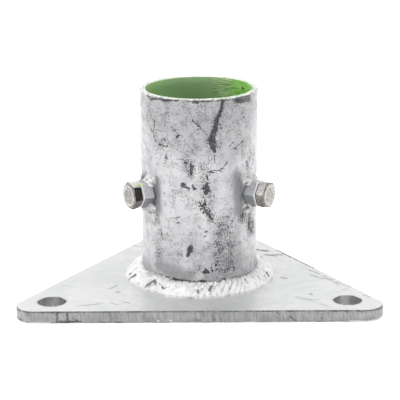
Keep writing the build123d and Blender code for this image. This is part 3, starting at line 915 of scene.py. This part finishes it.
hexagon = {
    "flat": 8.0 * mm,
    "columns": 96,
    "chamferRadius": 7.6 * mm,
    "chamferAngle": 30.0,
    "cornerRound": 0.12 * mm,
    "headTurn": 47.5,
    "nutTurn": 54.5,
}
cornerReach = hexagon["flat"] / cos(radians(30))
nut = {"bore": 5.05 * mm, "countersink": 0.45 * mm, "endFlat": 7.0 * mm}
bolt = {
    "threadStart": 0.35 * mm,
    "threadShort": 0.9 * mm,
    "threadRadius": 4.98 * mm,
    "threadPitch": 1.5 * mm,
    "coreRadius": 4.28 * mm,
    "tipChamfer": 0.85 * mm,
    "washerRadius": 6.9 * mm,
    "washerHeight": 0.6 * mm,
}
nutWeld = {"along": 4.6 * mm, "up": 6.2 * mm, "sweep": 96.0, "columns": 56, "across": 18}

# Painted reflection and highlight on each side face, from the hexagon's first corner round: above 0 painted
# darker, below 0 painted brighter; each bolt's end face gets its own painted tone
headTones = {
    "rear": (-0.3, 0.2, 0.35, 0.6, 0.3, 0.1),
    "left": (-1.0, -0.4, 0.4, 0.6, 0.3, 1.0),
    "right": (-0.4, -0.75, 0.3, 0.5, 0.3, 0.3),
}
headEndTones = {"rear": 0.15, "left": 0.33, "right": 0.14}
nutTones = {
    "rear": (0.2, 0.3, 0.5, 0.6, 0.5, 0.2),
    "left": (0.05, 0.32, 0.45, 0.62, 0.5, 0.06),
    "right": (0.02, 0.2, 0.52, 0.66, 0.4, 0.2),
}


# Distance from a hexagon's axis to its side at an angle, with the corners rounded off
def hexRadius(angle, turn):
    reach = hexagon["flat"] / cos(radians((angle - turn) % 60 - 30))
    limit, soft = cornerReach - hexagon["cornerRound"], 0.15 * mm
    return -soft * log(exp(-reach / soft) + exp(-limit / soft)) if reach > limit - 4 * soft else reach


# Points of a hexagonal bar: each row is a height, and what caps or what fixes its reach
def hexPoints(rows, turn):
    points = []
    for z, cap, fixed in rows:
        for i in range(hexagon["columns"]):
            angle = turn + 360 * i / hexagon["columns"]
            reach = fixed or min(hexRadius(angle, turn), cap or 1.0)
            points.append((reach * cos(radians(angle)), reach * sin(radians(angle)), z))
    return points


def chamferRows(end):
    slope = tan(radians(hexagon["chamferAngle"]))
    drops = [(cornerReach - hexagon["chamferRadius"]) * slope * (1 - i / 8) for i in range(9)]
    return [(end - drop, hexagon["chamferRadius"] + drop / slope, None) for drop in drops]


# Painted tone of every face of a bar: a whole row's own tone, or that of its side of the hexagon
def facetTones(rows, rowTones, tones):
    columns = hexagon["columns"]
    return [rowTones.get(row, tones[6 * i // columns]) for row in range(rows) for i in range(columns)]


def makeNut(name, angle):
    turn, bore, sink = hexagon["nutTurn"], nut["bore"], nut["countersink"]
    rows = [(tubeRadius, None, None), ((tubeRadius + headSeat) / 2, None, None), *chamferRows(headSeat)]
    rows += [(headSeat, None, nut["endFlat"]), (headSeat, None, bore + sink),
             (headSeat - sink, None, bore), (tubeRadius, None, bore)]
    faces = gridFaces(len(rows), hexagon["columns"], closeRows=True)
    made = makeObject("weldNut" + name.capitalize(), placed(hexPoints(rows, turn), angle), faces, [nutZinc],
                      sharpAngle=28)
    # Painted highlight on the nut's chamfer rows; painted shade on its end face, countersink and bore,
    # behind the bolt head and inside the tube
    rowTones = {row: -0.8 if row < 10 else 0.95 for row in range(2, len(rows))}
    setField(made, "paintedFacetLight", facetTones(len(rows), rowTones, nutTones[name]), "FACE")
    dress(made, "flange", "weld_nut_" + name)


# Helical thread ridge, as a node tree
def threadTree():
    tree = bpy.data.node_groups.new("threadRidge", "GeometryNodeTree")
    addSocket = tree.interface.new_socket
    addSocket("Geometry", in_out="OUTPUT", socket_type="NodeSocketGeometry")
    for name, value in (("Length", 15 * mm), ("Pitch", 1.5 * mm), ("Crest Radius", 5 * mm)):
        addSocket(name, in_out="INPUT", socket_type="NodeSocketFloat").default_value = value
    addSocket("Material", in_out="INPUT", socket_type="NodeSocketMaterial")
    entry = addNode(tree, "NodeGroupInput")
    half = calc(tree, "MULTIPLY", entry["Pitch"], 0.49)
    radius = calc(tree, "SUBTRACT", entry["Crest Radius"], half)
    spiral = addNode(tree, "GeometryNodeCurveSpiral", {
        "Resolution": 40, "Rotations": calc(tree, "DIVIDE", entry["Length"], entry["Pitch"]),
        "Start Radius": radius, "End Radius": radius, "Height": entry["Length"]})
    profile = addNode(tree, "GeometryNodeCurvePrimitiveCircle", {"Resolution": 4, "Radius": half})
    sweep = addNode(tree, "GeometryNodeCurveToMesh", {
        "Curve": spiral[0], "Profile Curve": profile[0], "Fill Caps": True})
    realised = addNode(tree, "GeometryNodeRealizeInstances", {0: sweep[0]})
    paint = addNode(tree, "GeometryNodeSetMaterial", {
        "Geometry": realised[0], "Material": entry["Material"]})
    addNode(tree, "NodeGroupOutput", {0: paint[0]})
    return tree


def bakeTree(name, tree, values):
    holder = bpy.data.objects.new(name, bpy.data.meshes.new(name))
    scene.collection.objects.link(holder)
    modifier = holder.modifiers.new("shape", "NODES")
    modifier.node_group = tree
    for item in tree.interface.items_tree:
        if item.in_out == "INPUT":
            modifier[item.identifier] = values[item.name]
    baked = bakeMesh(holder)
    bpy.data.objects.remove(holder)
    return baked


threadRidge = threadTree()


def makeBolt(name, angle):
    core, tip, wide = bolt["coreRadius"], bolt["tipChamfer"], hexagon["chamferRadius"]
    washerEnd = headSeat + bolt["washerHeight"]
    rows = [(tipEnd, None, 1.0 * mm), (tipEnd, None, core - tip * 0.7), (tipEnd + 0.7 * tip, None, core),
            (headSeat, None, core), (headSeat, None, bolt["washerRadius"]),
            (washerEnd, None, bolt["washerRadius"]), (washerEnd + 0.02 * mm, wide + 0.9 * mm, None),
            ((headSeat + headEnd) / 2, None, None), *chamferRows(headEnd),
            (headEnd - 0.02 * mm, None, wide - 0.5 * mm), (headEnd - 0.1 * mm, None, 5.5 * mm),
            (headEnd - 0.12 * mm, None, 1.0 * mm)]
    points = hexPoints(rows, hexagon["headTurn"])
    columns, base = hexagon["columns"], len(points)
    caps = [tuple(reversed(range(columns))), tuple(range(base - columns, base))]
    faces = gridFaces(len(rows), columns) + caps
    ridge = bakeTree("threadRidge", threadRidge, {
        "Length": headSeat - tipEnd - tip - bolt["threadShort"], "Pitch": bolt["threadPitch"],
        "Crest Radius": bolt["threadRadius"], "Material": headSteel})
    lift = Vector((0, 0, tipEnd + tip * 0.9 + bolt["threadStart"]))
    points += [v.co + lift for v in ridge.vertices]
    faces += [tuple(base + i for i in polygon.vertices) for polygon in ridge.polygons]
    made = makeObject("setBolt" + name.capitalize(), placed(points, angle), faces, [headSteel],
                      sharpAngle=28)
    # End face and shank take each bolt's end tone; painted shade under the head and on the washer, lighter
    # painted shade on the chamfer, a painted shadow ring round the end face and a painted highlight just
    # inside it
    rowTones = {row: headEndTones[name] for row in range(len(rows)) if row not in (6, 7)}
    rowTones |= {row: 0.25 for row in range(8, 16)} | {3: 1.0, 4: 1.0, 5: 1.0, 16: 0.5, 17: -0.15}
    tones = facetTones(len(rows) - 1, rowTones, headTones[name])
    setField(made, "paintedFacetLight", tones + [0.3] * (len(faces) - len(tones)), "FACE")
    dress(made, name + "_bolt", "set_bolt_" + name)


def makeNutWeld(name, angle, side, middle):
    points, shades = [], []
    columns, across = nutWeld["columns"], nutWeld["across"]
    half = nutWeld["sweep"] / 2 + 3
    for i in range(columns):
        offset = -half + 2 * half * i / (columns - 1)
        fade = max(0.0, 1 - abs(offset / half) ** 3) ** 0.5
        direction = unit(middle + offset).to_3d()
        hexReach = hexRadius(middle + offset, hexagon["nutTurn"])
        seedPoint = direction * hexReach + Vector((angle * mm, 0, middle * mm))
        up = nutWeld["up"] * (0.25 + 0.75 * fade) * (0.95 + 0.35 * wobble(seedPoint, 4 * mm, 2.0))
        along = nutWeld["along"] * (0.2 + 0.8 * fade) * (0.95 + 0.3 * wobble(seedPoint, 5 * mm, 6.0))

        def tubeSurface(reach):
            return sqrt(max(0.0, tubeRadius ** 2 - (reach * direction.x) ** 2))

        for j in range(across):
            share = j / (across - 1)
            reach = hexReach - 0.15 * mm + up * share
            inner = seedPoint + direction * share * 6 * mm
            rough = wobble(inner, 4.0 * mm, 8.0) + 0.45 * wobble(inner, 1.6 * mm, 9.0)
            bulge = sin(pi * share) * (0.2 * mm + 1.3 * mm * rough)
            # Painted shade in the hollows between lumps, at the root against the nut, towards the ends and
            # on the hidden underside; pit adds dark spots
            pit = max(0.0, wobble(inner, 1.5 * mm, 14.0) - 0.32) * 3.0
            root = 0.5 if share < 0.08 else 0.0
            shades.append(max(0.0, -rough * 1.7 - 0.2) + pit + root + 0.4 * (1 - fade) ** 2)
            z = (tubeRadius + along) * (1 - share) + tubeSurface(reach) * share + bulge * fade
            reach += bulge * 0.6 * fade
            if j == across - 1:
                z -= 0.15 * mm
            points.append((reach * direction.x, reach * direction.y, z))
        low = tubeSurface(hexReach + up) - 0.9 * mm
        for reach, z in ((hexReach + up, low), (hexReach - 1.2 * mm, low),
                         (hexReach - 1.2 * mm, tubeRadius + 0.3 * along)):
            points.append((reach * direction.x, reach * direction.y, z))
        shades += [0.5] * 3
    loop = across + 3
    faces = [(i * loop + j, (i + 1) * loop + j, (i + 1) * loop + (j + 1) % loop, i * loop + (j + 1) % loop)
             for i in range(columns - 1) for j in range(loop)]
    faces += [tuple(range(loop)), tuple(reversed(range((columns - 1) * loop, columns * loop)))]
    made = makeObject("nutWeld" + name.capitalize() + side.capitalize(), placed(points, angle), faces,
                      [nutWeldZinc], sharpAngle=75)
    setField(made, "shade", shades)
    dress(made, "flange", f"nut_weld_{name}_{side}")


for stationName, stationAngle in stations.items():
    makeNut(stationName, stationAngle)
    makeBolt(stationName, stationAngle)
    makeNutWeld(stationName, stationAngle, "upper", 90)
    makeNutWeld(stationName, stationAngle, "lower", 270)
print("nuts, bolts and nut welds ready")

dress(basePlate, "flange", "base_plate")
dress(socketTube, "flange", "socket_tube")
dress(ringWeld, "flange", "ring_weld")


# Studio

studio = {
    "floorSize": 6.0,
    "floorDrop": 0.02 * mm,
    "worldStrength": 0.55,
    "lampAim": (0, 0, 60 * mm),
    "clip": (0.05, 50.0),
    "floorGlow": 0.35,
    "farGlow": 0.5,
    "lamps": [  # place, size and power
        ((-0.1, 0.15, 1.2), 1.1, 13.5),
        ((-1.0, -0.5, 0.6), 0.7, 5.2),
        ((1.05, -0.1, 0.75), 0.8, 5.4),
    ],
    "cameraAngles": (0.10124, 16.37186, -0.33426),  # azimuth, elevation and roll
    "cameraDistance": 937.297 * mm,
    "cameraTarget": (0.48294 * mm, 58.8328 * mm),
    "sensor": 36.0,
    "focalShare": 3.54233,
}


# 1 for a ray from the camera, or one by way of gloss or glass, and 0 for light on the object
def seenRay(tree):
    path = addNode(tree, "ShaderNodeLightPath")
    seen = calc(tree, "MAXIMUM", path["Is Camera Ray"], path["Is Glossy Ray"])
    return calc(tree, "MAXIMUM", seen, path["Is Transmission Ray"])


def floorMaterial():
    material, tree, shader = startMaterial("floorPale")
    point = objectPoint(tree)
    x, y, _ = parts(tree, point)
    reach = calc(tree, "ADD", calc(tree, "MULTIPLY", x, x), calc(tree, "MULTIPLY", y, y))
    glow = between(tree, reach, 0.5, 5.0, studio["floorGlow"], studio["farGlow"])  # far from the lamps
    tone = noiseField(tree, point, 0.4, 2.0)
    plug(tree, shader, {
        "Base Color": mixColour(tree, tone, (0.93, 0.93, 0.93), (0.95, 0.95, 0.95)),
        "Roughness": 0.9, "Specular IOR Level": 0.1, "Emission Color": (1.0, 1.0, 1.0, 1.0),
        "Emission Strength": calc(tree, "MULTIPLY", seenRay(tree), glow)})
    return material


def setStudio():
    half = studio["floorSize"]
    corners = [(x * half, y * half, -studio["floorDrop"]) for x, y in ((-1, -1), (1, -1), (1, 1), (-1, 1))]
    makeObject("floor", corners, [(0, 1, 2, 3)], [floorMaterial()])
    world = bpy.data.worlds.new("studioWorld")
    scene.world = world
    world.use_nodes = True
    tree = world.node_tree
    plug(tree, tree.nodes["Background"], {
        "Color": (1.0, 1.0, 1.0, 1.0),
        "Strength": between(tree, seenRay(tree), 0.0, 1.0, studio["worldStrength"], 1.0, kind="LINEAR")})
    for number, (place, size, power) in enumerate(studio["lamps"]):
        light = bpy.data.lights.new(f"softbox{number}", "AREA")
        light.energy = power
        light.size = size
        lamp = bpy.data.objects.new(f"softbox{number}", light)
        scene.collection.objects.link(lamp)
        lamp.location = place
        lamp.visible_glossy = False
        aim = Vector(studio["lampAim"]) - Vector(place)
        lamp.rotation_euler = aim.to_track_quat("-Z", "Y").to_euler()


def setCamera():
    azimuth, elevation, roll = map(radians, studio["cameraAngles"])
    back = Vector((sin(azimuth) * cos(elevation), -cos(azimuth) * cos(elevation),
                   sin(elevation)))
    targetX, targetZ = studio["cameraTarget"]
    place = Vector((targetX * cos(azimuth), targetX * sin(azimuth), targetZ))
    place += back * studio["cameraDistance"]
    level = Vector((0, 0, 1)).cross(back).normalized()
    up = back.cross(level)
    right = level * cos(roll) + up * sin(roll)
    up = up * cos(roll) - level * sin(roll)
    camera = bpy.data.objects.new("camera", bpy.data.cameras.new("camera"))
    scene.collection.objects.link(camera)
    camera.data.sensor_width = studio["sensor"]
    camera.data.lens = studio["sensor"] * studio["focalShare"]
    camera.data.clip_start, camera.data.clip_end = studio["clip"]
    matrix = Matrix((right, up, back)).transposed().to_4x4()
    matrix.translation = place
    camera.matrix_world = matrix
    scene.camera = camera


setStudio()
setCamera()
scene.view_settings.view_transform = "Standard"
print("studio ready")
